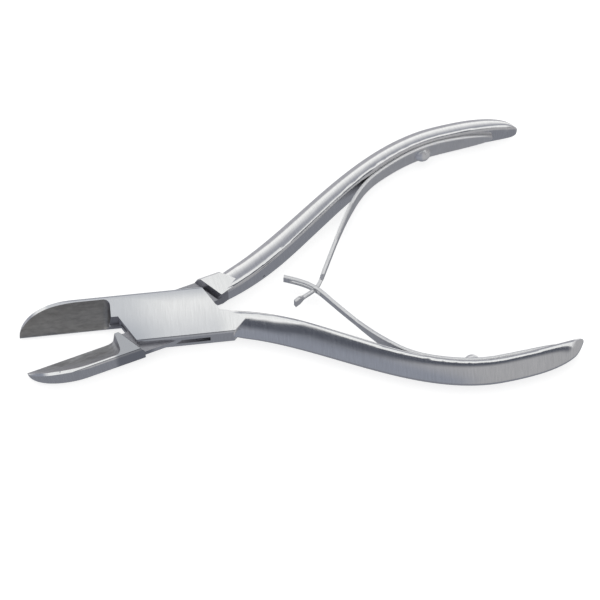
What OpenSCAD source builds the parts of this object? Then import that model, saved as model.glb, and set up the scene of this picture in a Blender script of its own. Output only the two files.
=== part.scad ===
// Sprue nippers with a box joint, hollow-ground flush jaws and two
// interlocking leaf springs.  Millimetres, +Z up, the tool lying on its back.
// The origin is on the pivot axis, on the flat back of the box joint.
// Each half is drawn closed, along the X axis, and then turned about the
// pivot by half of the opening angle: jaws towards -X, handles towards +X.

/* [Overall] */
// Reach from the pivot to the jaw tips
jaw_reach = 38.1; // [34:0.1:42]
// Reach from the pivot to the handle ends, tool closed
handle_reach = 102; // [96:0.5:112]
// Angle between the two halves when the springs are at rest
open_angle = 14.8; // [10:0.1:16]

/* [Box joint] */
// Width of the joint across its two long edges
joint_w = 13.2; // [12:0.1:14]
// Thickness of the joint and of the jaws
body_t = 6; // [5.4:0.1:7]
// Thickness of the tang that passes through the slot
tang_t = 2; // [1.6:0.1:2.4]
// Running play between the tang and each cheek
slot_play = 0.05; // [0.03:0.01:0.1]
// Reach of a cheek's corner along the centre line
cheek_reach = 12.5; // [12:0.1:13.2]
// Slope of the cheeks' ends against the centre line
cheek_slant = 59; // [55:1:64]
// Gap between a shoulder and the cheek beside it, tool closed
shoulder_gap = 0.4; // [0.3:0.05:0.7]
// Slope ground on the front of the jaw's shoulder
jaw_bevel = 0.6; // [0.3:0.1:1]
// Slope ground on the front of the handle's shoulder
handle_bevel = 1; // [0.5:0.1:1.3]
// Radius of the slot's end walls about the pivot
slot_r = 11.6; // [11:0.1:12]
// Gap between the tang and the slot's end walls
slot_end_gap = 0.3; // [0.2:0.05:0.5]
// Rounding of the long edges of the joint and jaws
edge_round = 0.45; // [0.2:0.05:0.7]

/* [Pivot pin] */
// Diameter of the flush pin
pin_d = 4; // [3:0.1:5]
// Running play of the tang around the pin, on the radius
pin_play = 0.04; // [0.02:0.01:0.08]

/* [Jaws] */
// Length of the rounded nose of a jaw
nose_len = 16; // [12:0.1:20]
// Gap between each jaw's edge and the centre line, tool closed
edge_gap = 0.03; // [0.02:0.01:0.1]
// Thickness left at the cutting edge
edge_t = 0.35; // [0.2:0.05:0.6]
// Length over which the front of the nose rises from the tip
front_len = 10; // [8:0.5:14]
// Flat rim left in front, between the hollow and the jaw's back
rim_w = 0.85; // [0.3:0.05:1.2]
// Radius of the wheel that grinds the hollow
wheel_r = 9; // [8:0.5:14]
// Corner radius of that wheel
wheel_corner = 1.6; // [0.6:0.1:2]
// Slope of the wheel's side face
wheel_side = 0.15; // [0.05:0.01:0.3]
// Where the hollow ends, measured from the pivot
hollow_end = 15.5; // [14.4:0.1:17]
// Relief of the upper jaw's heel over the edge
heel_relief = 0.7; // [0.3:0.1:1]
// Height at which that relief starts
heel_relief_z = 1.6; // [1:0.1:2.4]

/* [Handles] */
// Start of a handle's inner edge along the centre line
root_x = 14.2; // [13.8:0.1:15]
// Start of that edge away from the centre line
root_y = 0.4; // [0.3:0.1:1.4]
// Slope of the inner edge where the handle leaves the joint
root_slope = 0.11; // [0:0.005:0.25]
// Place of the highest point of the bow
bow_x = 77.6; // [74:0.1:82]
// Height of the bow's inner edge above the centre line
bow_y = 21.1; // [18:0.05:24]
// Length of the straight pull of the bow's first curve, at both ends
bow_pull = 21.7; // [16:0.1:26]
// Height of the inner edge at the handle's end
end_y = 17; // [15:0.1:20]
// Slope of the inner edge at the handle's end
end_slope = 0.36; // [0.2:0.02:0.6]
// Depth of the handle just outside the joint
handle_d_root = 6.25; // [5.6:0.05:6.6]
// Depth of the handle at the bow
handle_d_bow = 5.2; // [4.2:0.1:6]
// Where the handle starts to grow thinner towards the bow
thin_from = 22; // [16:1:30]
// Where the handle has its depth at the bow
thin_to = 76; // [60:1:78]
// Width of the handle at the bow
handle_w = 8.2; // [7:0.1:9]
// Length over which the handle widens from the joint
widen_len = 20; // [14:1:30]
// Length over which the handle's end rounds off
end_len = 18; // [12:0.5:24]
// Rounding of the handle's inner edges
handle_edge = 0.8; // [0.3:0.05:1]
// Slope of the rounded side where it leaves the inner edges
crown = 9; // [0:1:20]
// Where the joint's flat face ends on the handle's outer side
flat_end_x = 15.4; // [15:0.1:17]
// Where the joint's flat face ends on the handle's inner side
flat_tip_x = 20; // [18:0.1:23]

/* [Springs] */
// Thickness of a spring leaf
leaf_t = 0.85; // [0.6:0.05:1]
// Width of a leaf where it is riveted
leaf_w = 6.4; // [4.8:0.1:7]
// Width of a leaf where it starts to narrow
leaf_w_lift = 5.4; // [4:0.1:6]
// Width of a leaf where the two cross
leaf_w_cross = 2.6; // [2.4:0.1:3.2]
// Where a leaf starts to narrow
narrow_from = 54; // [51:0.5:58]
// Where a leaf has narrowed to its width at the crossing
narrow_to = 46.5; // [43:0.5:49]
// Gap between a seated leaf and the handle
seat_gap = 0.03; // [0.02:0.01:0.06]
// Where the leaf's riveted end stops
leaf_end_x = 95.5; // [90:0.5:97]
// Length of the rounded riveted end
leaf_nose = 10; // [3:0.5:12]
// Where the leaf lifts off the handle
leaf_lift_x = 63.5; // [60:0.1:66]
// Length of the bend after the lift
lift_pull = 7.5; // [3:0.1:10]
// Length of the straight run above the knee
knee_pull = 19.5; // [14:0.1:22]
// Slope of the free leaf at the knee
knee_slope = 49.6; // [42:0.1:56]
// Place of the knee, where the free leaf turns towards the jaws
knee_x = 39.5; // [38:0.1:40.5]
// Distance of the knee beyond the centre line
knee_y = 2.5; // [2:0.05:3.5]
// Tightness of the knee
knee_turn = 4.3; // [2:0.1:5]
// Slope of the leaf's free end
tail_slope = 19.5; // [12:0.5:30]
// Length of the straight run at the free end
tail_pull = 5.5; // [3:0.1:6]
// How far the springs' crossing lies below the centre line
cross_drop = 0.8; // [0:0.1:1]

/* [Spring ends] */
// Place of the lower spring's free end
lower_tail_x = 29.5; // [28.5:0.1:30]
// Distance of that end beyond the centre line
lower_tail_y = 7.9; // [7.2:0.1:8.6]
// Width of the slot in the lower spring
slot_w = 1.5; // [1.3:0.1:1.6]
// Length of that slot along X
slot_len = 7.6; // [7:0.1:8.4]
// Metal left beyond the slot at the free end
slot_land = 1.6; // [1.2:0.1:2]
// Place of the upper spring's free end
upper_tail_x = 30.7; // [30:0.1:31.5]
// Distance of that end beyond the centre line
upper_tail_y = 7.4; // [6.8:0.1:8]
// Width of the neck of the upper spring
neck_w = 1; // [0.8:0.1:1.1]
// Length of the neck along X
neck_len = 5.8; // [5:0.1:7]
// Width of the T-head of the upper spring
tee_w = 3.3; // [3:0.1:4]
// Length of the T-head along X
tee_len = 2.6; // [1.6:0.1:3]
// Length over which the T-head widens from the neck
tee_flare = 1.2; // [0.2:0.1:1.5]

/* [Spring rivets] */
// Place of the lower rivet along its handle
lower_rivet_x = 73.6; // [70:0.1:80]
// Place of the upper rivet along its handle
upper_rivet_x = 76.6; // [70:0.1:80]
// Diameter of the domed head
head_d = 4.2; // [3.6:0.1:4.8]
// Height of the domed head
head_h = 1.9; // [1:0.1:2.2]
// Height of the straight rim under the dome
head_rim = 0.3; // [0.2:0.05:0.5]
// Diameter of the shank
shank_d = 2.2; // [1.8:0.1:2.6]
// Depth of the shank in the handle
shank_depth = 2.6; // [2:0.1:3]

/* [Hidden] */
$fn = 64;
STEEL = [0.78, 0.79, 0.8];
HANDLE_STEEL = [0.7, 0.71, 0.73];
SPRING_STEEL = [0.62, 0.63, 0.66];
RIVET_STEEL = [0.82, 0.82, 0.83];
eps = 0.01;
// Inset that keeps the start of a handle just inside its root plate
seam = 0.02;
// Upright wall left between the tang and a shoulder's slope
shoulder_lip = 0.2;
// Air left at the bottom of a rivet's blind hole
hole_end_gap = 0.1;
// Inset of a handle from the joint's side where it starts
root_inset = 0.4;
// Length over which a handle's depth grows out of that inset
root_rise = 6;
// Pulls of the curve from the bow to the handle's end, as shares of its run
bow_share = 1 / 4;
tip_share = 1 / 6;
// Share of the jaw's width that the rim may take at the tip
rim_share = 0.3;
// Room around a cutter's free sides
clear = 1;
half_w = joint_w / 2;
mid_z = body_t / 2;
tang_z = mid_z - tang_t / 2;
tang_top = mid_z + tang_t / 2;
beyond = 2 * cheek_reach;
// Numbers of steps along the curves
rise_steps = 40;
end_steps = 26;
round_steps = 12;
dome_steps = 8;
edge_steps = 3;
nose_steps = 20;
corner_steps = 5;
arc_steps = 9;
leaf_steps = 18;
tail_steps = 12;

// ---- curves ---------------------------------------------------------------

// Point and direction of a cubic curve with four control points
function bez(p, t) = pow(1 - t, 3) * p[0] + 3 * pow(1 - t, 2) * t * p[1]
    + 3 * (1 - t) * t * t * p[2] + t * t * t * p[3];
function bez_dir(p, t) = pow(1 - t, 2) * (p[1] - p[0])
    + 2 * (1 - t) * t * (p[2] - p[1]) + t * t * (p[3] - p[2]);
function unit(v) = v / norm(v);
function left_of(v) = [-v.y, v.x];
function polar(a) = [cos(a), sin(a)];
function clamp(t) = max(0, min(1, t));
function smooth(t) = let (u = clamp(t)) u * u * (3 - 2 * u);
function mix(a, b, t) = a + (b - a) * t;
function flip(points) = [for (p = points) [p.x, -p.y]];
function reversed(points) = [for (i = [len(points) - 1:-1:0]) points[i]];

// The inner edge of a handle: an S-curve up to the bow, then the run to the end
root = [root_x, root_y];
bow = [bow_x, bow_y];
handle_tip = [handle_reach, end_y];
end_run = handle_reach - bow_x;
rise_curve = [root, root + bow_pull * [1, root_slope], bow - [bow_pull, 0], bow];
end_curve = [bow, bow + [end_run * bow_share, 0],
             handle_tip + end_run * tip_share * [-1, end_slope], handle_tip];
function inner(s) = s < 1 ? bez(rise_curve, s) : bez(end_curve, s - 1);
function inner_dir(s) = unit(s < 1 ? bez_dir(rise_curve, s) : bez_dir(end_curve, s - 1));
// Parameter of the inner edge's point with a given x, found by halving
function s_at(x, lo = 0, hi = 2, n = 24) = let (m = (lo + hi) / 2)
    n == 0 ? m : inner(m).x < x ? s_at(x, m, hi, n - 1) : s_at(x, lo, m, n - 1);
// Point of the inner edge at a given x, moved off the handle by a distance
function off_inner(x, off) = let (s = s_at(x)) inner(s) - off * left_of(inner_dir(s));

// ---- handles --------------------------------------------------------------

function end_fade(x) = 1 - pow(clamp((x - handle_reach + end_len) / end_len), 3);
function handle_depth(x) =
    (mix(handle_d_root, handle_d_bow, smooth((x - thin_from) / (thin_to - thin_from)))
     - (handle_d_root - half_w + root_y + root_inset) * (1 - smooth((x - root_x) / root_rise)))
    * sqrt(end_fade(x));
function handle_width(x) =
    mix(body_t - 2 * seam, handle_w, smooth((x - root_x) / widen_len))
    * pow(end_fade(x), 0.3);

// Half of the D-shaped section, from the flat inner face round to the middle of
// the outer side, as [distance from the inner face, distance from mid-plane]
function half_section(d, w) =
    let (e = min(handle_edge, d / 4, w / 6))
    concat(
        [for (i = [0:edge_steps]) let (a = 90 * i / edge_steps)
            [e, w / 2 - e] + e * [-cos(a), sin(a)]],
        [for (i = [1:round_steps]) let (a = mix(crown, 90, i / round_steps))
            [e + (d - e) * (sin(a) - sin(crown)) / (1 - sin(crown)),
             w / 2 * cos(a) / cos(crown)]]);
function section(d, w) =
    let (h = half_section(d, w), n = len(h))
    concat(h, [for (i = [n - 2:-1:0]) [h[i].x, -h[i].y]]);

// Skin over rings of points that all have the same count
module skin(rings) {
    n = len(rings[0]);
    m = len(rings);
    sides = [for (i = [0:m - 2], j = [0:n - 1]) let (k = (j + 1) % n)
        each [[i * n + j, (i + 1) * n + k, (i + 1) * n + j],
              [i * n + j, i * n + k, (i + 1) * n + k]]];
    start = [for (j = [n - 1:-1:0]) j];
    end = [for (j = [0:n - 1]) (m - 1) * n + j];
    polyhedron([for (r = rings) each r], concat([start], sides, [end]), convexity = 6);
}

module handle_bow() {
    last = 0.992;
    stations = concat(
        [for (i = [0:rise_steps - 1]) i / rise_steps],
        [for (i = [0:end_steps]) 1 + last * sin(90 * i / end_steps)]);
    skin([for (s = stations)
        let (p = inner(s), out = left_of(inner_dir(s)),
             ring = section(handle_depth(p.x), handle_width(p.x)))
        [for (q = ring) [p.x + out.x * q.x, p.y + out.y * q.x, mid_z + q.y]]]);
}

// ---- joint and jaws -------------------------------------------------------

// Point on the sloping end of a cheek, on the handle side, at a height y above
// the centre line; off moves the slope outwards
function slant(y, off = 0) =
    [cheek_reach + off / sin(cheek_slant) - y / tan(cheek_slant), y];

// Quarter of an ellipse that rises from the tip over a length, from 0 to 1
function nose_rise(x, length) = sin(acos(1 - clamp((x + jaw_reach) / length)));
function jaw_side(x) = mix(edge_gap, half_w, nose_rise(x, nose_len));
function jaw_front(x) = mix(edge_t, body_t, nose_rise(x, front_len));
function nose_x(length, t) = -jaw_reach + length * (1 - cos(90 * t));

// Outline of a jaw above the centre line, from its tip to its straight back
jaw_outline = [for (i = [0:nose_steps]) let (x = nose_x(nose_len, i / nose_steps))
    [x, jaw_side(x)]];

// Flat root of a handle beyond its shoulder, from the outer to the inner side
root_flat = [[flat_end_x, half_w], off_inner(flat_tip_x, -handle_edge),
             root - [0, seam]];

// Rounded bar along X that holds the joint and the jaws
module long_bar() {
    inset = [half_w, mid_z] - edge_round * [1, 1];
    signs = [[1, 1], [-1, 1], [-1, -1], [1, -1]];
    translate([-jaw_reach - eps, 0, mid_z])
        rotate([90, 0, 90])
            linear_extrude(jaw_reach + flat_tip_x + beyond)
                polygon([for (i = [0:3], k = [0:corner_steps])
                    [signs[i].x * inset.x, signs[i].y * inset.y]
                    + edge_round * polar(90 * (i + k / corner_steps))]);
}

// Section of the upper jaw's hollow as [y, z]: the wheel's arc from the rim, which
// follows the rounded nose, to the edge at the back; inset lifts the arc
function hollow_section(x, inset = 0) =
    let (side = jaw_side(x),
         edge = [0, edge_t],
         rim = [side - min(rim_w, rim_share * side), jaw_front(x)],
         chord = rim - edge,
         rise = sqrt(pow(wheel_r, 2) - pow(norm(chord) / 2, 2)),
         centre = (edge + rim) / 2 + rise * left_of(unit(chord)),
         from = atan2(edge.y - centre.y, edge.x - centre.x),
         to = atan2(rim.y - centre.y, rim.x - centre.x),
         arc = [for (i = [0:arc_steps])
             centre + (wheel_r - inset) * polar(mix(to, from, i / arc_steps))],
         top = body_t + clear)
    concat([[-clear, top], [arc[0].x, top]], arc, [[-clear, arc[arc_steps].y]]);

// The hollow of the upper jaw, its heel rounded by the wheel's corner
module hollow() {
    nose = [for (i = [0:nose_steps]) let (x = nose_x(nose_len, i / nose_steps))
        [for (p = hollow_section(max(x, eps - jaw_reach)))
            [x - (i == 0 ? clear : 0), p.x, p.y]]];
    heel = [for (i = [0:corner_steps]) let (a = 90 * i / corner_steps)
        [for (p = hollow_section(-hollow_end, wheel_corner * (1 - cos(a))))
            [-hollow_end - wheel_corner * (1 - sin(a)) + wheel_side * (p.y - edge_t),
             p.x, p.y]]];
    skin(concat(nose, heel));
}

// Front of the nose, cut down towards the tip
module nose_front() {
    top = body_t + clear;
    line = [for (i = [0:nose_steps]) let (x = nose_x(front_len, i / nose_steps))
        [x, jaw_front(x)]];
    translate([0, joint_w, 0])
        rotate([90, 0, 0])
            linear_extrude(2 * joint_w)
                polygon(concat([[-jaw_reach - clear, edge_t]], line,
                               [[front_len - jaw_reach, top], [-jaw_reach - clear, top]]));
}

// Relief above the edge at the upper jaw's heel, as far as the cheek's slope
module heel_cut() {
    high = heel_relief + edge_gap;
    from = -hollow_end - heel_relief;
    translate([0, 0, heel_relief_z])
        linear_extrude(body_t)
            polygon([[from, -heel_relief], -slant(heel_relief), -slant(-high), [from, high]]);
}

// Slope cut on the front of a shoulder, down to just above the tang
module shoulder_bevel(run) {
    foot = tang_top + shoulder_lip;
    low = tang_top + shoulder_lip / 2;
    front = body_t + clear;
    lean = run / (body_t - foot);
    translate([cheek_reach, 0, 0])
        rotate([0, 0, 90 - cheek_slant])
            translate([0, joint_w, 0])
                rotate([90, 0, 0])
                    linear_extrude(2 * joint_w)
                        polygon([[shoulder_gap + lean * (low - foot), low],
                                 [shoulder_gap + lean * (front - foot), front],
                                 [shoulder_gap + lean * (low - foot), front]]);
}

module pin_hole(play) {
    translate([0, 0, -eps])
        cylinder(d = pin_d + 2 * play, h = body_t + 2 * eps);
}

// Plan of the slot: round about the pivot, open towards the other half
module slot_plan() {
    circle(slot_r, $fn = 128);
    square(beyond);
    translate([-beyond, -beyond]) square(beyond);
}

// Plan of the tang that fills the slot
module tang_plan() {
    intersection() {
        union() {
            circle(slot_r - slot_end_gap, $fn = 128);
            polygon([[0, edge_gap], [cheek_reach, edge_gap], root - [0, seam],
                     [root_x, half_w], [0, half_w]]);
            polygon([[0, -edge_gap], [-root_x, -edge_gap],
                     [-root_x, -half_w], [0, -half_w]]);
        }
        square([4 * cheek_reach, joint_w], center = true);
    }
}

// ---- springs and rivets ---------------------------------------------------

// Centre line of a leaf from its riveted end to its free end
function leaf_line(drop, tail) =
    let (off = seat_gap + leaf_t / 2,
         lift = off_inner(leaf_lift_x, off),
         away = inner_dir(s_at(leaf_lift_x)),
         knee = [knee_x, -knee_y - drop],
         free = [lift, lift - lift_pull * away,
                 knee + knee_pull * polar(knee_slope), knee],
         end = [knee, knee - knee_turn * polar(knee_slope),
                tail + tail_pull * polar(tail_slope), tail])
    concat(
        [for (i = [0:leaf_steps])
            off_inner(mix(leaf_end_x, leaf_lift_x, i / leaf_steps), off)],
        [for (i = [1:leaf_steps]) bez(free, i / leaf_steps)],
        [for (i = [1:tail_steps]) bez(end, i / tail_steps)]);

// Strip of the leaf's thickness around a line of points
module strip(line) {
    n = len(line) - 1;
    side = [for (i = [0:n])
        left_of(unit(line[min(i + 1, n)] - line[max(i - 1, 0)])) * leaf_t / 2];
    polygon(concat([for (i = [0:n]) line[i] + side[i]],
                   [for (i = [n:-1:0]) line[i] - side[i]]));
}

// Upper half of a leaf's outline seen from the side, as far as the crossing
function leaf_outline(cross_x) = concat(
    [for (i = [0:nose_steps / 2]) let (a = 180 * i / nose_steps)
        [leaf_end_x - leaf_nose * (1 - cos(a)), leaf_w / 2 * sin(a)]],
    [[leaf_lift_x, leaf_w_lift / 2], [narrow_from, leaf_w_lift / 2],
     [narrow_to, leaf_w_cross / 2], [cross_x, leaf_w_cross / 2]]);

// A leaf bent along a line, with its side outline given as the child
module bent_leaf(drop, tail, rivet_x) {
    difference() {
        intersection() {
            translate([0, 0, -mid_z]) linear_extrude(2 * body_t) strip(leaf_line(drop, tail));
            translate([0, beyond, mid_z])
                rotate([90, 0, 0])
                    linear_extrude(2 * beyond) children();
        }
        at_rivet(rivet_x) shank();
    }
}

// Puts its child on a handle's inner face, +Z pointing at the other handle
module at_rivet(x) {
    s = s_at(x);
    out = left_of(inner_dir(s));
    translate([inner(s).x, inner(s).y, mid_z])
        rotate([0, 0, atan2(out.y, out.x)])
            rotate([0, -90, 0])
                children();
}

module shank(extra = 0) {
    translate([0, 0, -shank_depth - extra])
        cylinder(d = shank_d, h = shank_depth + extra + leaf_t + 2 * seat_gap);
}

// Domed rivet, drawn upright on the seat of its leaf
module rivet() {
    under = seat_gap + leaf_t;
    rise = head_h - head_rim;
    dome_r = (pow(head_d / 2, 2) + rise * rise) / (2 * rise);
    reach = asin(head_d / 2 / dome_r);
    dome = [for (i = [0:dome_steps]) let (a = reach * (1 - i / dome_steps))
        [dome_r * sin(a), under + head_h - dome_r * (1 - cos(a))]];
    rotate_extrude()
        polygon(concat([[0, -shank_depth], [shank_d / 2, -shank_depth],
                        [shank_d / 2, under], [head_d / 2, under]], dome));
}

// ---- the halves, drawn closed ---------------------------------------------

module box_half_closed() {
    difference() {
        union() {
            intersection() {
                linear_extrude(body_t)
                    polygon(concat(jaw_outline, [slant(half_w), slant(0)],
                                   flip(reversed(root_flat)),
                                   [-slant(half_w), -slant(0), [-cheek_reach, edge_gap]]));
                long_bar();
            }
            mirror([0, 1, 0]) handle_bow();
        }
        hollow();
        nose_front();
        translate([0, 0, tang_z - slot_play])
            linear_extrude(tang_t + 2 * slot_play) slot_plan();
        heel_cut();
        pin_hole(0);
        mirror([0, 1, 0]) at_rivet(lower_rivet_x) shank(hole_end_gap);
    }
}

module through_half_closed() {
    difference() {
        union() {
            intersection() {
                union() {
                    linear_extrude(body_t)
                        polygon(concat(flip(jaw_outline),
                                       [-slant(half_w, shoulder_gap),
                                        -slant(edge_gap, shoulder_gap)]));
                    linear_extrude(body_t)
                        polygon(concat([slant(root_y - seam, shoulder_gap),
                                        slant(half_w, shoulder_gap)], root_flat));
                    translate([0, 0, tang_z]) linear_extrude(tang_t) tang_plan();
                }
                long_bar();
            }
            handle_bow();
        }
        mirror([0, 1, 0]) hollow();
        nose_front();
        shoulder_bevel(handle_bevel);
        rotate([0, 0, 180]) shoulder_bevel(jaw_bevel);
        pin_hole(pin_play);
        at_rivet(upper_rivet_x) shank(hole_end_gap);
    }
}

// ---- nodes ----------------------------------------------------------------

// The first half, with the two cheeks, the upper jaw and the lower handle
module box_half() {
    color(STEEL) rotate([0, 0, -open_angle / 2]) box_half_closed();
}

// The second half, with the tang, the lower jaw and the upper handle
module through_half() {
    color(HANDLE_STEEL) rotate([0, 0, open_angle / 2]) through_half_closed();
}

// The pin, pressed in the cheeks and ground flush on both faces
module pivot_pin() {
    color(RIVET_STEEL) cylinder(d = pin_d, h = body_t);
}

// The slotted leaf on the lower handle
module lower_spring() {
    slot_x = lower_tail_x + slot_land;
    outline = concat(leaf_outline(slot_x + slot_len),
                     [[lower_tail_x - leaf_t, leaf_w_cross / 2]]);
    color(SPRING_STEEL)
        rotate([0, 0, -open_angle / 2])
            mirror([0, 1, 0])
                bent_leaf(-cross_drop, [lower_tail_x, -lower_tail_y], lower_rivet_x)
                    difference() {
                        polygon(concat(outline, reversed(flip(outline))));
                        translate([slot_x + slot_w / 2, -slot_w / 2])
                            square([slot_len - slot_w, slot_w]);
                        translate([slot_x + slot_w / 2, 0]) circle(d = slot_w);
                        translate([slot_x + slot_len - slot_w / 2, 0]) circle(d = slot_w);
                    }
}

// The leaf with the neck and the T-head, on the upper handle
module upper_spring() {
    tee_x = upper_tail_x + tee_len;
    neck_x = tee_x + neck_len;
    taper = (leaf_w_cross - neck_w) / 2;
    outline = concat(leaf_outline(neck_x + taper),
                     [[neck_x, neck_w / 2], [tee_x, neck_w / 2],
                      [tee_x - tee_flare, tee_w / 2], [upper_tail_x - leaf_t, tee_w / 2]]);
    color(SPRING_STEEL)
        rotate([0, 0, open_angle / 2])
            bent_leaf(cross_drop, [upper_tail_x, -upper_tail_y], upper_rivet_x)
                polygon(concat(outline, reversed(flip(outline))));
}

// The rivet that holds the lower leaf
module lower_rivet() {
    color(RIVET_STEEL)
        rotate([0, 0, -open_angle / 2]) mirror([0, 1, 0]) at_rivet(lower_rivet_x) rivet();
}

// The rivet that holds the upper leaf
module upper_rivet() {
    color(RIVET_STEEL) rotate([0, 0, open_angle / 2]) at_rivet(upper_rivet_x) rivet();
}

box_half();
through_half();
pivot_pin();
lower_spring();
upper_spring();
lower_rivet();
upper_rivet();
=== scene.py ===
# %% [markdown]
# # Sprue nippers, seen from the front of the tool
#
# The tool lies on its back on a pale table. Its two halves, its pin, its two
# spring leaves and their rivets come packed from the construction, in metres,
# with the pivot at the origin. This lesson gives them the surfaces, the light
# and the camera of the photograph.

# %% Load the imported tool
import math
from contextlib import contextmanager
from functools import reduce

import bmesh
import bpy
import numpy as np
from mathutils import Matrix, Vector
from mathutils.bvhtree import BVHTree


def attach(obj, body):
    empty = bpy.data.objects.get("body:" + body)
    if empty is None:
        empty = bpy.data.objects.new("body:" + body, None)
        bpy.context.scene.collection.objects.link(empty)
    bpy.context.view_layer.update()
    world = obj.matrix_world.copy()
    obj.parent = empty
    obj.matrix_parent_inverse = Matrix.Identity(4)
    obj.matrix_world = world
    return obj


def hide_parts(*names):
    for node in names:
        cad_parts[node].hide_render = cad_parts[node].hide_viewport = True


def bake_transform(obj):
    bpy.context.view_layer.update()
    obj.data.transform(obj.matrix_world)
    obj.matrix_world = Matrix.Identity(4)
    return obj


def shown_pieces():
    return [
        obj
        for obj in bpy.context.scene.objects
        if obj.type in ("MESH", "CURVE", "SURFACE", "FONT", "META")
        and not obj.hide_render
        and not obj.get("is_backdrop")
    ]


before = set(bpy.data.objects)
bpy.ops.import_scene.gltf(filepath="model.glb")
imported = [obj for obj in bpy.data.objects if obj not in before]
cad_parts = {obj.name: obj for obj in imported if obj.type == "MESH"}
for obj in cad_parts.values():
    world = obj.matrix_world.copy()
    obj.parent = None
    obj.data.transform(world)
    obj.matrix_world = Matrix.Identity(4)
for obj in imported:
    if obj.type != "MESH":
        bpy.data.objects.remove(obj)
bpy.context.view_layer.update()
MM = 0.001
scene = bpy.context.scene
scene.view_settings.view_transform = "Standard"
print("pieces:", sorted(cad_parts))

# %% [markdown]
# ## The camera
#
# The photograph looks down on the tool from the handles' near side. A camera
# can be posed by hand, but one that is worked out from an aim point, two
# angles and a distance can be checked and corrected value by value. The lens
# is long, so the tool hardly gets smaller towards the back.

# %% The camera, from its named values
LENS, SENSOR = 150.0, 36.0
AIM = Vector((0.03286, -0.00274, 0.003))
ELEVATION, AZIMUTH, DISTANCE = 66.0, -13.7, 0.62982
# The picture's width, its height and the longer of the two
W = H = L = 600


def stand_off(azimuth, elevation):
    """Unit vector from the aim to a camera or lamp, azimuth 0 standing on the
    -Y side: the sine and less the cosine of the azimuth, each times the
    cosine of the elevation, and the sine of the elevation."""
    a, e = math.radians(azimuth), math.radians(elevation)
    return Vector((math.sin(a) * math.cos(e), -math.cos(a) * math.cos(e), math.sin(e)))


back = stand_off(AZIMUTH, ELEVATION)
camera = bpy.data.objects.new("camera", bpy.data.cameras.new("camera"))
camera.data.lens, camera.data.sensor_width = LENS, SENSOR
camera.data.sensor_fit = "AUTO"
camera.location = AIM + DISTANCE * back
camera.rotation_mode = "QUATERNION"
camera.rotation_quaternion = (-back).to_track_quat("-Z", "Y")
scene.collection.objects.link(camera)
scene.camera = camera
bpy.context.view_layer.update()
print("camera stands at", [round(v, 4) for v in camera.location])

# %% [markdown]
# ## Small helpers for node materials
#
# Every finish here is bare steel, so they are all built from the same few
# nodes: the piece's own coordinates, noise stretched along one direction for
# the marks of the belt or the wheel, and one Principled shader. Nodes can be
# drawn by hand in the editor too, but a few helpers keep a formula readable
# and let two finishes share it.

# %% Helpers that add and join nodes


def add(tree, kind, **settings):
    """A new node, with its settings and the values of its sockets."""
    node = tree.nodes.new(kind)
    for key, given in settings.items():
        if hasattr(node, key):
            setattr(node, key, given)
        else:
            node.inputs[key.replace("_", " ")].default_value = given
    return node


def join(tree, source, target, out=0, into=0):
    """Link from one node's output to another node's input."""
    tree.links.new(source.outputs[out], target.inputs[into])
    return target


def new_material(name, colour, metal, rough):
    """A material, its node tree and its Principled shader."""
    made = bpy.data.materials.new(name)
    made.use_nodes = True
    shader = made.node_tree.nodes["Principled BSDF"]
    shader.inputs["Base Color"].default_value = (*colour, 1)
    shader.inputs["Metallic"].default_value = metal
    shader.inputs["Roughness"].default_value = rough
    return made, made.node_tree, shader


# %% Helpers that reckon with numbers, sockets and nodes


def socket(given):
    """A socket as it is, or a node's first output."""
    return given if isinstance(given, bpy.types.NodeSocket) else given.outputs[0]


def value(tree, operation, *inputs):
    """A Math node on numbers, sockets or other nodes' first outputs."""
    node = add(tree, "ShaderNodeMath", operation=operation)
    for k, given in enumerate(inputs):
        if isinstance(given, (int, float)):
            node.inputs[k].default_value = given
        else:
            tree.links.new(socket(given), node.inputs[k])
    return node


def times(tree, *parts):
    """All the parts multiplied."""
    return reduce(lambda done, part: value(tree, "MULTIPLY", done, part), parts)


def plus(tree, *parts):
    """All the parts added up."""
    return reduce(lambda done, part: value(tree, "ADD", done, part), parts)


def step(tree, x, low, high):
    """Smooth step of x: nought at low and before it, one at high and beyond,
    where high may also be the smaller of the two."""
    node = add(tree, "ShaderNodeMapRange", interpolation_type="SMOOTHSTEP", From_Min=low, From_Max=high)
    tree.links.new(socket(x), node.inputs[0])
    return node


def axes_of(tree, vector):
    """The x, y and z of a vector, as sockets."""
    split = add(tree, "ShaderNodeSeparateXYZ")
    return join(tree, vector, split).outputs


# %% Helpers for colours and for the lines of a finish


def blend_to(tree, under, colour, weight):
    """Mix a colour over another mix, or over a constant, by a weight."""
    node = add(tree, "ShaderNodeMix", data_type="RGBA")
    tree.links.new(weight.outputs[0], node.inputs[0])
    if isinstance(under, tuple):
        node.inputs[6].default_value = (*under, 1)
    else:
        tree.links.new(under.outputs[2], node.inputs[6])
    node.inputs[7].default_value = (*colour, 1)
    return node


def own_place(tree, turn):
    """The piece's coordinates, turned about Z into a half's own closed frame."""
    where = add(tree, "ShaderNodeTexCoord")
    spin = add(tree, "ShaderNodeMapping")
    spin.inputs["Rotation"].default_value = (0, 0, math.radians(turn))
    return join(tree, where, spin, "Object")


def grain(tree, place, scale, seed):
    """Noise drawn out into lines: the coordinates are scaled strongly across
    the lines and less along them."""
    stretch = add(tree, "ShaderNodeMapping")
    stretch.inputs["Scale"].default_value = scale
    stretch.inputs["Location"].default_value = (seed, seed, seed)
    join(tree, place, stretch)
    noise = add(tree, "ShaderNodeTexNoise", Scale=1.0, Detail=4.0, Roughness=0.6)
    return join(tree, stretch, noise)


print("node helpers are ready")

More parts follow.
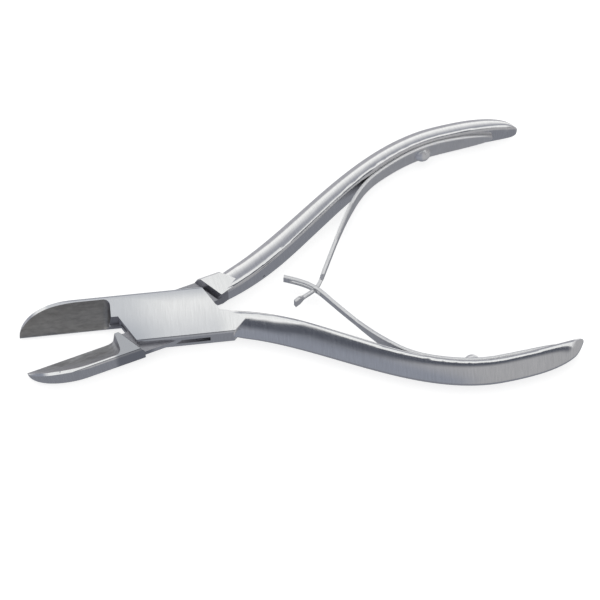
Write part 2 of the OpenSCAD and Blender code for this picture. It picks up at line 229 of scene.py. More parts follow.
# %% [markdown]
# ## The steel of the two halves
#
# The front of the joint and the handles are finished on a belt: fine lines
# run across the tool. Each half carries its own copy of the finish, turned
# with the half, because the lines were ground before the tool was opened.
# The hollows are left as the wheel ground them, darker and duller. The walls
# of the slot and the steps around the pivot are painted darker: painted shade
# where the parts close over them, and some oil. A photographed texture could
# carry the lines, but stretched noise has no seams and follows each half when
# it turns.

# %% Steel with ground lines
OPEN = 14.8
HALF_TURN = OPEN / 2
BELT, WHEEL, POLISH, CLOUDS = (3200, 260, 260), (500, 1600, 1600), (300, 300, 300), (160, 160, 160)


def lined_steel(name, turn, colour, rough, scale=BELT, contrast=0.1, depth=1e-5, seed=3.0):
    """Steel with ground lines, the belt's where nothing else is said: they
    vary the colour by the contrast, the roughness a little, and lift the
    surface by the depth in metres. Seven parts of lines go with three parts
    of clouds."""
    made, tree, shader = new_material(name, colour, 1.0, rough)
    place = own_place(tree, turn)
    lines = grain(tree, place, scale, seed)
    clouds = grain(tree, place, CLOUDS, seed + 5)
    mixed = plus(tree, times(tree, lines, 0.7), times(tree, clouds, 0.3))
    tint = add(tree, "ShaderNodeMapRange", From_Min=0.3, From_Max=0.7,
               To_Min=1 - contrast, To_Max=1 + contrast * 0.5)
    join(tree, mixed, tint)
    painted = add(tree, "ShaderNodeMix", data_type="RGBA", blend_type="MULTIPLY")
    painted.inputs[0].default_value = 1.0
    painted.inputs[6].default_value = (*colour, 1)
    tree.links.new(tint.outputs[0], painted.inputs[7])
    tree.links.new(painted.outputs[2], shader.inputs["Base Color"])
    spread = add(tree, "ShaderNodeMapRange", From_Min=0.3, From_Max=0.7,
                 To_Min=rough * 0.8, To_Max=rough * 1.25)
    join(tree, mixed, spread)
    tree.links.new(spread.outputs[0], shader.inputs["Roughness"])
    bump = add(tree, "ShaderNodeBump", Strength=0.1, Distance=depth)
    tree.links.new(lines.outputs[0], bump.inputs["Height"])
    tree.links.new(bump.outputs[0], shader.inputs["Normal"])
    return made, tree, painted, place, shader


# %% The belt-finished steel of the box half, with painted shade on its cheek
STEEL, STEEL_ROUGH = (0.82, 0.82, 0.83), 0.13
box_steel, tree, painted, place, shader = lined_steel("box_half_steel", HALF_TURN, STEEL, STEEL_ROUGH)
x, y, z = axes_of(tree, place)
on_cheek = times(tree, step(tree, z, 0.0057, 0.0059), step(tree, x, 0.015, 0.011))
# Painted shade: the cheek's long edges and its jaw end are painted darker and bluer than its middle,
# where the reflection dims
upper_edge_shade = times(tree, step(tree, y, 0.0025, 0.007), 0.75)
lower_edge_shade = times(tree, step(tree, y, 0.003, -0.0066), 0.4)
jaw_end_shade = times(tree, step(tree, x, 0.002, -0.0135), 0.55)
painted_shade = value(tree, "MAXIMUM", upper_edge_shade, plus(tree, jaw_end_shade, lower_edge_shade))
cheek_shaded = blend_to(tree, painted, (0.38, 0.4, 0.45), times(tree, painted_shade, on_cheek))
tree.links.new(cheek_shaded.outputs[2], shader.inputs["Base Color"])
print("finish with a worn cheek:", box_steel.name)

# %% The belt-finished steel of the lap half, with its dull shoulder
lap_steel, tree, painted, place, shader = lined_steel("lap_half_steel", -HALF_TURN, STEEL, STEEL_ROUGH)
# The lower jaw's shoulder is painted a duller grey than the rest of the front
x = axes_of(tree, place)[0]
shoulder = times(tree, step(tree, x, -0.0172, -0.0156), step(tree, x, -0.006, -0.008))
shoulder_dulled = blend_to(tree, painted, (0.4, 0.41, 0.44), shoulder)
tree.links.new(shoulder_dulled.outputs[2], shader.inputs["Base Color"])
print("finish with a dull shoulder:", lap_steel.name)

# %% Wheel-ground hollows, the walls inside the joint, springs and rivets
# The walls inside the joint are painted darker: painted shade where the parts close over them, and some
# oil
BOX_HOLLOW, LAP_HOLLOW, INSIDE_SHADE_AND_OIL = (0.41, 0.4, 0.385), (0.6, 0.6, 0.61), (0.42, 0.42, 0.45)
SPRING, RIVET = (0.84, 0.84, 0.85), (0.88, 0.88, 0.89)
box_hollow = lined_steel("box_half_hollow", HALF_TURN, BOX_HOLLOW, 0.42, WHEEL, 0.34, 2e-5, 7.0)[0]
lap_hollow = lined_steel("lap_half_hollow", -HALF_TURN, LAP_HOLLOW, 0.4, WHEEL, 0.34, 2e-5, 9.0)[0]
box_inside = lined_steel("box_half_inside", HALF_TURN, INSIDE_SHADE_AND_OIL, 0.4)[0]
lap_inside = lined_steel("lap_half_inside", -HALF_TURN, INSIDE_SHADE_AND_OIL, 0.4)[0]
spring_steel = lined_steel("spring_strip_steel", 0, SPRING, 0.36, contrast=0.08)[0]
rivet_steel = lined_steel("polished_rivet_steel", 0, RIVET, 0.28, POLISH, 0.05, 1e-6)[0]
print("finishes:", [made.name for made in (box_hollow, lap_hollow, box_inside, lap_inside,
                                           spring_steel, rivet_steel)])

# %% [markdown]
# ## The two forged halves
#
# A half is one forging, and the construction has its exact shape, but as
# loose flat triangles. The shape could be modelled again as a surface, but a
# merged copy keeps it and can be shaded smoothly. Four things are then done
# to the copy. Each handle's end is rounded to a nose. The faces get
# their finish by where they lie and which way they look. Triangles in nearly
# the same plane become one face, so that the light runs evenly over them.
# And a narrow bevel breaks the edges, as a wheel does on the real tool.

# %% Which finish a face has
HOLLOW_END, HALF_W, BODY_T, ROOT_X, REACH = 15.5, 6.6, 6.0, 14.2, 102.0


def turned(x, y, degrees):
    """x and y turned about Z: x times the cosine less y times the sine, and
    x times the sine plus y times the cosine."""
    c, s = math.cos(math.radians(degrees)), math.sin(math.radians(degrees))
    return x * c - y * s, x * s + y * c


@contextmanager
def opened(mesh):
    """The mesh opened for editing, and written back at the end."""
    shell = bmesh.new()
    shell.from_mesh(mesh)
    yield shell
    shell.to_mesh(mesh)
    shell.free()


def face_finish(mesh, turn, jaw_side):
    """0 for the belt, 1 for the hollow, 2 for the inside of the joint. In
    the half's own frame the hollow looks towards the centre line or the tip
    and up, and the inside lies below the front and off the long sides. Small
    margins decide for the faces that lie on a border."""
    count = len(mesh.polygons)
    c, n = np.zeros(3 * count), np.zeros(3 * count)
    mesh.polygons.foreach_get("center", c)
    mesh.polygons.foreach_get("normal", n)
    x, y = turned(*c.reshape(-1, 3).T[:2] / MM, turn)
    z = c[2::3] / MM
    nx, ny = turned(*n.reshape(-1, 3).T[:2], turn)
    nz = n[2::3]
    jaw = (x < -HOLLOW_END + 0.4) & (z < BODY_T - 0.01) & (nz > 0.02)
    run_out = (nx < -0.5) & (nz < 0.5) & (x > -HOLLOW_END - 2.5)
    hollow = jaw & ((-ny * jaw_side > 0.05) | run_out)
    inside = (abs(x) < ROOT_X + 1.6) & (z < BODY_T - 0.05) & (z > 0.05) & (nz > -0.9)
    inside &= ~hollow & (abs(y) < HALF_W - 0.35)
    return np.where(hollow, 1, np.where(inside, 2, 0))


# %% The rounded nose of a handle's end
END_SLOPE, NOSE_PART, NOSE_CUTS = 0.36, 0.93, (0.15, 0.35, 0.6, 0.9, 1.3, 1.8, 2.4)
NOSE_LEN = NOSE_CUTS[-1]


def round_nose(shell, turn):
    """The handle's end is a rounded nose, most of a half ellipse seen from
    above: over the nose's length the depth shrinks towards the sloping middle
    line, by the square root of one less the square of NOSE_PART times t, with
    t growing from nought to one. Cuts across give the curve its points."""
    along, across = Vector((*turned(1, 0, -turn), 0)), Vector((*turned(0, 1, -turn), 0))
    for back in NOSE_CUTS:
        bmesh.ops.bisect_plane(shell, geom=shell.verts[:] + shell.edges[:] + shell.faces[:],
                               plane_co=along * (REACH - back) * MM, plane_no=along)
    depth = [v.co.dot(across) for v in shell.verts if v.co.dot(along) > (REACH - 0.1) * MM]
    middle = (min(depth) + max(depth)) / 2
    slope = END_SLOPE if middle < 0 else -END_SLOPE
    for v in shell.verts:
        t = (v.co.dot(along) / MM - REACH + NOSE_LEN) / NOSE_LEN
        if t > 0:
            middle_here = middle + slope * (v.co.dot(along) - REACH * MM)
            keep = math.sqrt(1 - (NOSE_PART * min(t, 1.0)) ** 2)
            v.co += across * (middle_here - v.co.dot(across)) * (1 - keep)
    print("nose rounded, middle of the end at", round(middle / MM, 2))


# %% Dressed copies of the two halves
EDGE, BROKEN_ABOVE, SMOOTH_BELOW = 0.06, 35, 28
EVEN_ALL, EVEN_JAWS, JAWS_FROM = 0.4, 1.2, -15.0


def dressed_copy(node, name, materials, turn, jaw_side, body):
    """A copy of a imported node: doubles merged, the nose rounded, faces that
    meet at less than EVEN_ALL degrees made one, in the jaws those that meet
    at less than EVEN_JAWS. The flats are shaded flat and the rest smoothly
    where two faces meet at less than SMOOTH_BELOW, and sharper edges than
    BROKEN_ABOVE are broken by a small bevel."""
    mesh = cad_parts[node].data.copy()
    with opened(mesh) as shell:
        bmesh.ops.remove_doubles(shell, verts=shell.verts, dist=1e-6)
        bmesh.ops.dissolve_degenerate(shell, edges=shell.edges, dist=1e-6)
        round_nose(shell, turn)
    mesh.materials.clear()
    for material in materials:
        mesh.materials.append(material)
    kinds = face_finish(mesh, turn, jaw_side)
    mesh.polygons.foreach_set("material_index", kinds.astype(np.int32))
    with opened(mesh) as shell:
        for angle, front in ((EVEN_ALL, REACH), (EVEN_JAWS, JAWS_FROM)):
            bmesh.ops.dissolve_limit(
                shell, angle_limit=math.radians(angle), delimit={"MATERIAL"},
                verts=[v for v in shell.verts if v.co.x < front * MM],
                edges=[e for e in shell.edges if max(v.co.x for v in e.verts) < front * MM])
    mesh.set_sharp_from_angle(angle=math.radians(SMOOTH_BELOW))
    up = np.empty(3 * len(mesh.polygons))
    mesh.polygons.foreach_get("normal", up)
    mesh.polygons.foreach_set("use_smooth", np.abs(up[2::3]) < 0.99999)
    piece = bpy.data.objects.new(name, mesh)
    scene.collection.objects.link(piece)
    bevel = piece.modifiers.new("edges", "BEVEL")
    bevel.width, bevel.segments = EDGE * MM, 2
    bevel.limit_method, bevel.angle_limit = "ANGLE", math.radians(BROKEN_ABOVE)
    even = piece.modifiers.new("even_normals", "WEIGHTED_NORMAL")
    even.keep_sharp, even.weight = True, 100
    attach(piece, body)
    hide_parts(node)
    print(name, len(mesh.polygons), "faces, by finish:", np.bincount(kinds).tolist())
    return piece


box_half = dressed_copy("box_half", "box_joint_half", (box_steel, box_hollow, box_inside),
                        HALF_TURN, 1, "box_body")
through_half = dressed_copy("through_half", "lap_joint_half", (lap_steel, lap_hollow, lap_inside),
                            -HALF_TURN, -1, "through_body")
# The pin is ground flush with the cheeks, so it has their steel
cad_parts["pivot_pin"].data.materials.clear()
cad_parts["pivot_pin"].data.materials.append(box_steel)

# %% [markdown]
# ## Image points, and a pit in the upper handle's wall
#
# A few places in the photograph tell later how far each piece shows from
# where it should. One of them is a small pit in the inner wall of the upper
# handle. Its place could be guessed in millimetres, but a sight line through
# its image point meets the finished piece exactly there. The pit has no depth
# in the mesh: its shade is painted, the steel darkened round that place.

# %% The image points, and the place of one on a piece
POINTS = {
    "left_x": 18.5, "right_x": 581.5, "top_y": 117.5, "bottom_y": 384.0,
    "upper_jaw_tip": (19.7, 339.8), "lower_jaw_tip": (27.0, 375.3), "cheek_corner": (140.9, 339.8),
    "shoulder_corner": (197.9, 280.4), "upper_rivet": (424.0, 155.1), "lower_rivet_top": (472.6, 353.8),
    "slotted_tip": (282.9, 274.6), "t_head_tip": (296.5, 306.1),
    "upper_handle_end": (516.5, 126.5), "lower_handle_end": (581.6, 343.3),
    "wall_pit": (264.0, 276.0),
}
PIT_R = 0.35


def found_on(carrier, point):
    """Where the sight line through an image point meets a finished piece, or
    the place on the piece that lies nearest that line."""
    skin = BVHTree.FromObject(carrier, bpy.context.evaluated_depsgraph_get())
    x, y = point
    shift = L * Vector((camera.data.shift_x, camera.data.shift_y, 0))
    ray = Vector((x - W / 2, H / 2 - y, -L * LENS / SENSOR)) + shift
    way = (camera.matrix_world.to_3x3() @ ray).normalized()
    hit = skin.ray_cast(camera.location, way)[0]
    if hit is None:
        along = np.linspace(0.8, 1.2, 400) * DISTANCE
        near = [skin.find_nearest(camera.location + way * t) for t in along]
        hit = min(near, key=lambda found: found[3])[0]
    return hit


pit = found_on(through_half, POINTS["wall_pit"])
tree = lap_steel.node_tree
where = add(tree, "ShaderNodeTexCoord")
far = add(tree, "ShaderNodeVectorMath", operation="DISTANCE")
far.inputs[1].default_value = pit
tree.links.new(where.outputs["Object"], far.inputs[0])
# Painted shade of the pit: the steel round its place is darkened
pit_shade = blend_to(tree, shoulder_dulled, (0.12, 0.12, 0.13),
                   step(tree, far.outputs["Value"], 1.3 * PIT_R * MM, 0.5 * PIT_R * MM))
tree.links.new(pit_shade.outputs[2], tree.nodes["Principled BSDF"].inputs["Base Color"])
print("the pit lies at", [round(v / MM, 1) for v in pit])

# %% [markdown]
# ## The spring leaves
#
# Each leaf is a strip that lies on its handle, lifts off in a soft bend, and
# crosses the other leaf: one has a slot, the other a neck and a T-head that
# hook in it. A strip could be bent by hand from a flat one, but it has to lie
# on the handle's curve. So its middle line is worked out from the same curves
# as the construction, and the surface is that line times its width.

# %% The handle's inner edge
ROOT, ROOT_SLOPE = np.array([ROOT_X, 0.4]), 0.11
BOW, BOW_PULL = np.array([77.6, 21.1]), 21.7
END_Y = 17.0


def bezier(p, t):
    """Cubic curve through the first and the last of four points. With t from
    nought to one and r the rest up to one, the points weigh r cubed, three
    times r squared t, three times r t squared, and t cubed."""
    t = np.asarray(t)[:, None]
    r = 1 - t
    return r ** 3 * p[0] + 3 * r ** 2 * t * p[1] + 3 * r * t ** 2 * p[2] + t ** 3 * p[3]


def directions(line):
    """Unit vectors along a line of points: the steps between the neighbours
    of each point, divided by their length."""
    d = np.gradient(line, axis=0)
    return d / np.linalg.norm(d, axis=1)[:, None]


tip = np.array([REACH, END_Y])
run = REACH - BOW[0]
rise = [ROOT, ROOT + BOW_PULL * np.array([1, ROOT_SLOPE]), BOW - [BOW_PULL, 0], BOW]
fall = [BOW, BOW + [run / 4, 0], tip + run / 6 * np.array([-1, END_SLOPE]), tip]
inner_edge = np.vstack([bezier(rise, np.linspace(0, 1, 400)), bezier(fall, np.linspace(0, 1, 200))[1:]])


def off_inner(x, off):
    """Points of the handle's inner edge at the given x, moved off it square
    to its direction."""
    edge_x, edge_y = inner_edge.T
    dx, dy = (np.interp(x, edge_x, part) for part in directions(inner_edge).T)
    return np.stack([x + off * dy, np.interp(x, edge_x, edge_y) - off * dx], 1)


print("inner edge from", inner_edge[0], "to", inner_edge[-1])

# %% The middle line of a leaf
LEAF_T, SEAT_GAP, LEAF_END_X, LEAF_NOSE = 0.85, 0.03, 95.5, 15.0
LIFT_X, LIFT_PULL, CROSS_DROP = 63.5, 7.5, 0.8
KNEE, KNEE_PULL, KNEE_SLOPE, KNEE_TURN = np.array([39.5, -2.5]), 19.5, 49.6, 4.3
TAIL_SLOPE, TAIL_PULL = 19.5, 5.5
LOWER_TAIL, UPPER_TAIL = np.array([29.5, -7.9]), np.array([30.7, -7.4])


def polar(degrees):
    """Unit vector at an angle: its cosine and its sine."""
    return np.array(turned(1, 0, degrees))


def leaf_line(drop, tail):
    """The leaf's middle line: along the handle from its riveted end, one
    curve down to the knee, and one more to the free end."""
    off = SEAT_GAP + LEAF_T / 2
    seat = off_inner(np.linspace(LEAF_END_X, LIFT_X, 60), off)
    away = directions(seat)[-1]
    knee = KNEE - [0, drop]
    down = [seat[-1], seat[-1] + LIFT_PULL * away, knee + KNEE_PULL * polar(KNEE_SLOPE), knee]
    out = [knee, knee - KNEE_TURN * polar(KNEE_SLOPE), tail + TAIL_PULL * polar(TAIL_SLOPE), tail]
    t = np.linspace(0, 1, 90)[1:]
    return np.vstack([seat, bezier(down, t), bezier(out, t)])


lower_line, upper_line = leaf_line(-CROSS_DROP, LOWER_TAIL), leaf_line(CROSS_DROP, UPPER_TAIL)
print("leaf length in mm:", round(float(np.linalg.norm(np.diff(upper_line, axis=0), axis=1).sum()), 1))

# %% The widths of the leaves
NARROW_FROM, NARROW_TO = 54.0, 46.5
LEAF_W, LIFT_W, CROSS_W = 6.4, 5.4, 2.6
SLOT_W, SLOT_LEN, SLOT_LAND = 1.5, 7.6, 1.6
NECK_W, NECK_LEN, TEE_W, TEE_LEN, TEE_FLARE = 1.0, 5.8, 3.3, 2.6, 1.2


def half_width(x):
    """Half the leaf's width at x: straight tapers from the riveted end down
    to the crossing, and over the nose times the square root of one less the
    square of the way into it."""
    nose = np.sqrt(np.clip(1 - ((x - LEAF_END_X + LEAF_NOSE) / LEAF_NOSE).clip(0) ** 2, 0, 1))
    body = np.interp(x, [NARROW_TO, NARROW_FROM, LIFT_X, LEAF_END_X - LEAF_NOSE],
                     [CROSS_W / 2, LIFT_W / 2, LIFT_W / 2, LEAF_W / 2])
    return body * nose


def slot_half(x):
    """Half the slot's width at x, nought outside it. Over its round ends it
    is the square root of the radius squared less the square of the radius
    less the way into the slot."""
    r, start = SLOT_W / 2, LOWER_TAIL[0] + SLOT_LAND
    inside = np.clip(np.minimum(x - start, start + SLOT_LEN - x), 0, r)
    return np.sqrt(r * r - (r - inside) ** 2)


def t_head_width(x):
    """Half the width of the leaf with the T-head: tapered to the neck, then wide."""
    tee_x, taper = UPPER_TAIL[0] + TEE_LEN, (CROSS_W - NECK_W) / 2
    neck_x = tee_x + NECK_LEN
    return np.where(x > neck_x + taper, half_width(x),
                    np.interp(x, [tee_x - TEE_FLARE, tee_x, neck_x, neck_x + taper],
                              [TEE_W / 2, NECK_W / 2, NECK_W / 2, CROSS_W / 2]))


print("half widths at the lift and the crossing:", half_width(np.array([LIFT_X, NARROW_TO])))

# %% The leaf as a surface: the line times the width
MID_Z = BODY_T / 2
STATIONS, ACROSS, LEAF_EDGE = 420, 7, 0.1


def leaf_mesh(name, line, outer, hole, turn, side):
    """Grid of the leaf: along its line, and on each side of the middle from
    the hole's edge (nought where there is no hole) to the outer edge. The
    two sides share their middle points, so merging doubles closes the strip."""
    arc = np.concatenate([[0], np.cumsum(np.linalg.norm(np.diff(line, axis=0), axis=1))])
    way = np.linspace(0, arc[-1], STATIONS)
    x, y = np.interp(way, arc, line[:, 0]), np.interp(way, arc, line[:, 1]) * side
    off_middle = hole(x)[:, None] + (outer(x) - hole(x))[:, None] * np.linspace(0, 1, ACROSS)
    px, py = (np.repeat(p[:, None], ACROSS, 1) for p in turned(x, y, turn))
    sides = [np.stack([px, py, MID_Z + sign * off_middle], -1).reshape(-1, 3) for sign in (1, -1)]
    i, j = np.meshgrid(np.arange(STATIONS - 1), np.arange(ACROSS - 1), indexing="ij")
    k = (i * ACROSS + j).ravel()
    quad = np.stack([k, k + 1, k + ACROSS + 1, k + ACROSS], 1)
    faces = np.vstack([quad, quad[:, ::-1] + STATIONS * ACROSS])
    mesh = bpy.data.meshes.new(name)
    mesh.from_pydata((np.vstack(sides) * MM).tolist(), [], faces.tolist())
    with opened(mesh) as shell:
        bmesh.ops.remove_doubles(shell, verts=shell.verts, dist=2e-6)
        bmesh.ops.recalc_face_normals(shell, faces=shell.faces)
    return mesh


def finished(mesh):
    """The strip with its thickness and its rounded edges, as a plain mesh."""
    piece = bpy.data.objects.new(mesh.name, mesh)
    scene.collection.objects.link(piece)
    wall = piece.modifiers.new("thickness", "SOLIDIFY")
    wall.thickness, wall.offset = LEAF_T * MM, 0
    bevel = piece.modifiers.new("edges", "BEVEL")
    bevel.width, bevel.segments = LEAF_EDGE * MM, 2
    bevel.limit_method, bevel.angle_limit = "ANGLE", math.radians(50)
    bpy.context.view_layer.update()
    done = bpy.data.meshes.new_from_object(piece.evaluated_get(bpy.context.evaluated_depsgraph_get()))
    piece.modifiers.clear()
    piece.data = done
    done.polygons.foreach_set("use_smooth", np.ones(len(done.polygons), bool))
    done.set_sharp_from_angle(angle=math.radians(40))
    done.materials.append(spring_steel)
    print(piece.name, len(done.polygons), "faces")
    return piece


lower_leaf = finished(leaf_mesh("slotted_leaf", lower_line, half_width, slot_half, -HALF_TURN, -1))
upper_leaf = finished(leaf_mesh("t_head_leaf", upper_line, t_head_width, np.zeros_like, HALF_TURN, 1))

# %% The leaves, with their transforms baked in
for leaf, node, home, other, lift in (
        (lower_leaf, "lower_spring", "box_body", "through_body", Vector((0.054, -0.021, 0.003))),
        (upper_leaf, "upper_spring", "through_body", "box_body", Vector((0.054, 0.021, 0.003)))):
    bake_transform(leaf)
    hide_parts(node)
    print(leaf.name, "bends from", [round(v / MM, 1) for v in lift])

# %% [markdown]
# ## The rivets
#
# A rivet's head is a low dome with a short straight rim. A squashed sphere
# would come near it, but a profile turned about the rivet's axis gives it
# exactly, with its pole closed.

# %% Domes turned about the rivets' axes
LOWER_RIVET_X, UPPER_RIVET_X = 73.6, 76.6
HEAD_D, HEAD_H, HEAD_RIM, HEAD_SIDES = 4.2, 1.9, 0.3, 64


def quads(rows, around):
    """The faces of a grid whose rows are rings, which close on themselves."""
    i, j = np.meshgrid(np.arange(rows), np.arange(around), indexing="ij")
    k, beside = i * around + j, i * around + (j + 1) % around
    return np.stack([k, beside, beside + around, k + around], -1).reshape(-1, 4).tolist()


def dome(name, rivet_x, side, turn, body, node):
    """A profile turned about the rivet's axis: a point of it lies at its
    distance from the axis times the cosine of the angle along the handle,
    and times the sine of it in height. The profile runs across the seat, up
    the rim and along a circle's arc to the pole. The arc's radius is the sum
    of the squares of its half width and its height, over twice its height."""
    up = HEAD_H - HEAD_RIM
    r = ((HEAD_D / 2) ** 2 + up ** 2) / (2 * up)
    t = math.asin(HEAD_D / 2 / r) * np.linspace(1, 0, 17)
    across = np.concatenate([[0, HEAD_D / 2], r * np.sin(t)])
    tall = np.concatenate([[0, 0], HEAD_H - r * (1 - np.cos(t))])
    seat = off_inner(np.array([rivet_x - 0.5, rivet_x, rivet_x + 0.5]), SEAT_GAP + LEAF_T)
    along = directions(seat)[1]
    away = np.array([along[1], -along[0]])
    a = np.linspace(0, 2 * math.pi, HEAD_SIDES, endpoint=False)
    ring = across[:, None] * np.cos(a)
    x, y = np.moveaxis(seat[1] + tall[:, None, None] * away + ring[..., None] * along, -1, 0)
    verts = np.stack([*turned(x, y * side, turn), MID_Z + across[:, None] * np.sin(a)], -1)
    mesh = bpy.data.meshes.new(name)
    mesh.from_pydata((verts.reshape(-1, 3) * MM).tolist(), [], quads(len(across) - 1, HEAD_SIDES))
    with opened(mesh) as shell:
        bmesh.ops.remove_doubles(shell, verts=shell.verts, dist=1e-6)
        bmesh.ops.dissolve_degenerate(shell, edges=shell.edges, dist=1e-7)
        bmesh.ops.recalc_face_normals(shell, faces=shell.faces)
    mesh.polygons.foreach_set("use_smooth", np.ones(len(mesh.polygons), bool))
    mesh.set_sharp_from_angle(angle=math.radians(35))
    mesh.materials.append(rivet_steel)
    piece = bpy.data.objects.new(name, mesh)
    scene.collection.objects.link(piece)
    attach(piece, body)
    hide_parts(node)
    print(name, len(mesh.polygons), "faces")
    return piece


lower_dome = dome("lower_rivet_head", LOWER_RIVET_X, -1, -HALF_TURN, "box_body", "lower_rivet")
upper_dome = dome("upper_rivet_head", UPPER_RIVET_X, 1, HALF_TURN, "through_body", "upper_rivet")

# %% [markdown]
# ## The table
#
# The tool was photographed on white. More light would turn the table white,
# but it would bleach the steel too. So the table is a pale plane that keeps
# the soft shadow, and it glows a little for the rays that come from the
# camera, also by way of glass or a mirror. The lamp stays low.

# %% The table
FLOOR_Z, FLOOR_HALF, FLOOR_GLOW = -0.001, 3, 0.72


def stage_mesh(name, verts, faces, material):
    """A piece of the studio, from its corners and faces."""
    mesh = bpy.data.meshes.new(name)
    mesh.from_pydata([tuple(v) for v in verts], [], faces)
    mesh.materials.append(material)
    made = bpy.data.objects.new(name, mesh)
    scene.collection.objects.link(made)
    made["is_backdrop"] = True
    return made


def seen_rays(tree):
    """One for rays from the camera, also by way of glass or a mirror, and
    nought for the rays that only carry light."""
    path = add(tree, "ShaderNodeLightPath")
    direct = value(tree, "MAXIMUM", path.outputs["Is Camera Ray"], path.outputs["Is Transmission Ray"])
    return value(tree, "MAXIMUM", direct, path.outputs["Is Glossy Ray"])


table_white, tree, shader = new_material("table_white", (0.45, 0.45, 0.45), 0, 0.9)
glow = add(tree, "ShaderNodeEmission")
tree.links.new(socket(times(tree, seen_rays(tree), FLOOR_GLOW)), glow.inputs["Strength"])
both = add(tree, "ShaderNodeAddShader")
join(tree, shader, both)
join(tree, glow, both, into=1)
join(tree, both, tree.nodes["Material Output"], into="Surface")
corners = [(FLOOR_HALF * x, FLOOR_HALF * y, FLOOR_Z) for x, y in ((-1, -1), (1, -1), (1, 1), (-1, 1))]
table = stage_mesh("table", corners, [(0, 1, 2, 3)], table_white)
table.visible_glossy = False
print("table at", FLOOR_Z / MM, "mm")

# %% The room's light and the lamp above
world = bpy.data.worlds.new("white_room")
world.use_nodes = True
scene.world = world
tree = world.node_tree
# The room is white where it is seen, and dimmer as a light
level = add(tree, "ShaderNodeMapRange", To_Min=0.62, To_Max=1.0)
join(tree, seen_rays(tree), level)
join(tree, level, tree.nodes["Background"], into="Strength")
tree.nodes["Background"].inputs["Color"].default_value = (1, 1, 1, 1)

LAMP_AWAY, LAMP_SIZE, LAMP_WATTS = 0.9, 0.9, 3.2
lamp_way = stand_off(azimuth=180, elevation=75)
light = bpy.data.lights.new("tent_top", "AREA")
light.shape, light.size, light.energy = "SQUARE", LAMP_SIZE, LAMP_WATTS
lamp = bpy.data.objects.new("tent_top", light)
lamp.location = AIM + LAMP_AWAY * lamp_way
lamp.rotation_mode = "QUATERNION"
lamp.rotation_quaternion = lamp_way.to_track_quat("Z", "Y")
scene.collection.objects.link(lamp)
lamp.visible_glossy = False
print("lamp of", LAMP_WATTS, "W at", [round(v, 2) for v in lamp.location])

# %% [markdown]
# ## The tent that the steel sees
#
# Bare steel shows its surroundings more than its own colour. In a product
# photograph these are the cloth walls of a light tent: a grey front, a bright
# top with the dark gap for the lens in an arch below it, a grey strip and a
# bright back. One ball around the table carries them, and only glossy rays
# meet it. A picture could be wrapped around it; here the cloth walls are a
# short formula in the ball's own directions, so each wall can be moved.

# %% A flat map of the directions
tent, tree, shader = new_material("tent_cloth", (0, 0, 0), 0, 1)
where = add(tree, "ShaderNodeTexCoord")
way = add(tree, "ShaderNodeVectorMath", operation="NORMALIZE")
x, y, z = axes_of(tree, join(tree, where, way, "Object"))
# The zenith lies in the middle, the horizon at radius 1, straight down at 2:
# x and y are stretched from their own length to the fall from the zenith
fall_off = times(tree, value(tree, "ARCCOSINE", z), 2 / math.pi)
flat = value(tree, "SQRT", plus(tree, times(tree, x, x), times(tree, y, y)))
share = value(tree, "DIVIDE", fall_off, value(tree, "MAXIMUM", flat, 1e-4))
east, north = times(tree, x, share), times(tree, y, share)
# Height above the arch: how far north of two half parabolas with one top
ARCH_EAST, ARCH_NORTH, LEFT_BEND, RIGHT_BEND = 0.07, 0.035, 1.2, 2.3
across = value(tree, "SUBTRACT", east, ARCH_EAST)
right = value(tree, "MAXIMUM", across, 0.0)
left = value(tree, "MAXIMUM", times(tree, across, -1.0), 0.0)
over = plus(tree, value(tree, "SUBTRACT", north, ARCH_NORTH),
            times(tree, left, left, LEFT_BEND), times(tree, right, right, RIGHT_BEND))
print("nodes that make the map:", len(tree.nodes))

# %% The cloth walls, painted one over the other
# One between the left wall and the right wall, nought on them
between = times(tree, step(tree, east, -0.6, -0.4), step(tree, east, 0.6, 0.4))
# The front is darker on the left
cloth = blend_to(tree, (0.44, 0.44, 0.45), (0.3, 0.32, 0.37), step(tree, east, 0.05, -0.35))
# The top, brightest along its brim over the arch, and the grey strip behind it
top = times(tree, step(tree, over, 0.03, 0.09), between)
cloth = blend_to(tree, cloth, (0.97, 0.98, 0.97), top)
cloth = blend_to(tree, cloth, (1.15, 1.15, 1.13), times(tree, top, step(tree, over, 0.17, 0.09)))
cloth = blend_to(tree, cloth, (0.36, 0.37, 0.41), step(tree, north, 0.33, 0.4))
cloth = blend_to(tree, cloth, (0.45, 0.45, 0.48), step(tree, north, 0.7, 0.9))
# The bright back: it grows slowly from above, ends sooner below, lies a
# little lower on the right, and is weaker on the far left
back = value(tree, "SUBTRACT", north, times(tree, east, 0.15))
strength = plus(tree, times(tree, step(tree, east, -0.6, -0.2), 0.4), 0.6)
lit = times(tree, step(tree, back, 0.47, 0.86), step(tree, back, 1.02, 0.92), strength)
cloth = blend_to(tree, cloth, (1.1, 1.1, 1.08), lit)
# The dark gap, sharp above and fading below, more slowly on the left
fade = plus(tree, times(tree, left, 0.15), 0.27)
below = value(tree, "DIVIDE", times(tree, over, -1.0), fade)
gap = times(tree, step(tree, below, 1.0, 0.35), step(tree, over, 0.08, 0.03), between)
cloth = blend_to(tree, cloth, (0.095, 0.103, 0.127), gap)
# Straight below, where the table would be, it is dark grey
cloth = blend_to(tree, cloth, (0.24, 0.25, 0.28), step(tree, fall_off, 1.5, 1.65))
tree.links.new(cloth.outputs[2], shader.inputs["Emission Color"])
shader.inputs["Emission Strength"].default_value = 1.0
shader.inputs["Specular IOR Level"].default_value = 0.0
print("nodes with the walls:", len(tree.nodes))

# %% The ball that carries them
BALL_R, BALL_SIDES, BALL_ROWS = 2.0, 48, 24
e, a = np.meshgrid(np.linspace(-math.pi / 2, math.pi / 2, BALL_ROWS + 1),
                   np.linspace(0, 2 * math.pi, BALL_SIDES, endpoint=False), indexing="ij")
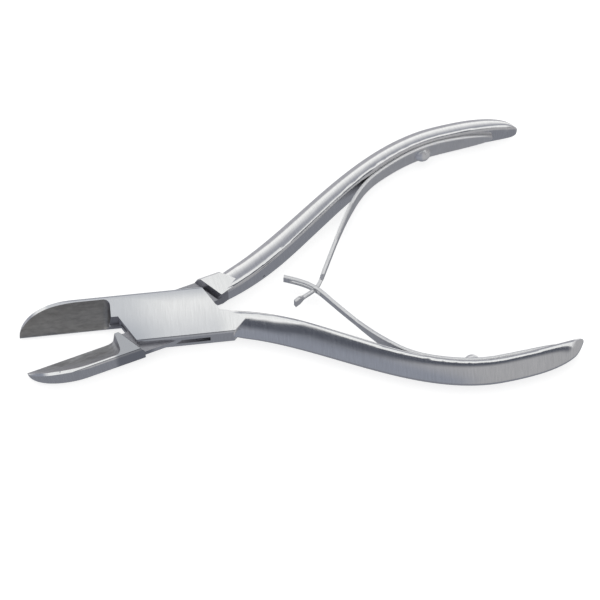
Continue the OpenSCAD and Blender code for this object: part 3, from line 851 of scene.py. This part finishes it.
# Its points: the cosine of the height times cosine and sine round, and the sine
ball = BALL_R * np.stack([np.cos(e) * np.cos(a), np.cos(e) * np.sin(a), np.sin(e)], -1).reshape(-1, 3)
walls = stage_mesh("tent", ball, quads(BALL_ROWS, BALL_SIDES), tent)
walls.visible_camera = walls.visible_diffuse = walls.visible_shadow = False
walls.visible_transmission = walls.visible_volume_scatter = False
print("tent walls:", len(walls.data.polygons), "faces")

# %% [markdown]
# ## How true the image points are
#
# Two pictures laid side by side show a slip only roughly. Here each image
# point is compared with the place where the finished piece shows, which tells
# how far off it is and which way. Nothing is moved by that.

# %% Where a finished piece shows
to_camera = np.array(camera.matrix_world.inverted())


def shown_at(co):
    """Image x and y of points in the world, one row each: across and up over
    the depth, times the lens over the sensor and the image's length."""
    q = np.atleast_2d(co) @ to_camera[:3, :3].T + to_camera[:3, 3]
    return np.stack([W / 2 + q[:, 0] / -q[:, 2] * L * LENS / SENSOR,
                     H / 2 - q[:, 1] / -q[:, 2] * L * LENS / SENSOR], -1)


def seen(piece, keep=None):
    """Image x and y of a piece's finished vertices, or of those that keep
    picks by their coordinates in mm."""
    whole = piece.evaluated_get(bpy.context.evaluated_depsgraph_get())
    co = np.zeros(len(whole.data.vertices) * 3)
    whole.data.vertices.foreach_get("co", co)
    co = co.reshape(-1, 3)
    if keep is not None:
        co = co[keep(*(co.T / MM))]
    return shown_at(co)


def farthest(piece, right, down, keep=None):
    """The image point of a piece that lies farthest in one direction."""
    found = seen(piece, keep)
    return found[np.argmax(found @ np.array([right, down]))]


# %% The finished tool against the photograph
FRONT_Z = BODY_T - 0.1
every = np.vstack([seen(piece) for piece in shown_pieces()])
(left, top), (right, bottom) = every.min(0), every.max(0)
off = {"left_x": left - POINTS["left_x"], "right_x": right - POINTS["right_x"],
       "top_y": top - POINTS["top_y"], "bottom_y": bottom - POINTS["bottom_y"]}
feature = {
    "upper_jaw_tip": farthest(box_half, -1, 0.6), "lower_jaw_tip": farthest(through_half, -1, 0),
    "cheek_corner": farthest(box_half, -0.3, 1, lambda x, y, z: (z > FRONT_Z) & (x < 12) & (x > -16)),
    "shoulder_corner": farthest(through_half, -1, 0, lambda x, y, z: (z > FRONT_Z) & (x > 5)),
    "upper_rivet": seen(upper_dome).mean(0), "lower_rivet_top": farthest(lower_dome, 0, -1),
    "slotted_tip": farthest(lower_leaf, -1, -1), "t_head_tip": farthest(upper_leaf, -0.3, 1),
    "upper_handle_end": farthest(through_half, 1, 0), "lower_handle_end": farthest(box_half, 1, 0),
    "wall_pit": shown_at(pit)[0],
}
off.update({name: place - np.array(POINTS[name]) for name, place in feature.items()})
off = {name: np.round(by, 2).tolist() for name, by in off.items()}
for name, by in off.items():
    print(name, by)
